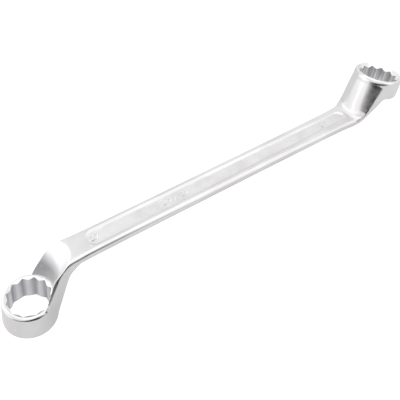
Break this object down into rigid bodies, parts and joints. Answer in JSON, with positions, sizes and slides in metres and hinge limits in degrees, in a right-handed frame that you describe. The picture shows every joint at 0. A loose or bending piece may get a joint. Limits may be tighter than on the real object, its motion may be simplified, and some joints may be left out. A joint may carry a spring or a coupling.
{
  "type": "ring spanner",
  "caption": "Double-ended deep-offset ring spanner: a flat chrome-plated shank that rises to a smaller ring at one end and drops to a larger one at the other.",
  "frame": {"origin": "on the floor of the numbered face's panel, midway between the two ring axes where they meet the rings' upper faces", "axes": "+X along the shank from the large 27 mm ring to the small 24 mm ring, +Y across the shank, +Z out of the numbered face; the large ring lies below the shank and the small ring above it"},
  "size_m": [0.3395, 0.0384, 0.0784],
  "materials": {
    "satin_chrome": "satin chrome plate over forged chrome-vanadium steel, brighter on the rims and edges"
  },
  "bodies": {
    "root": {"spanner_body": "satin_chrome"}
  },
  "joints": []
}
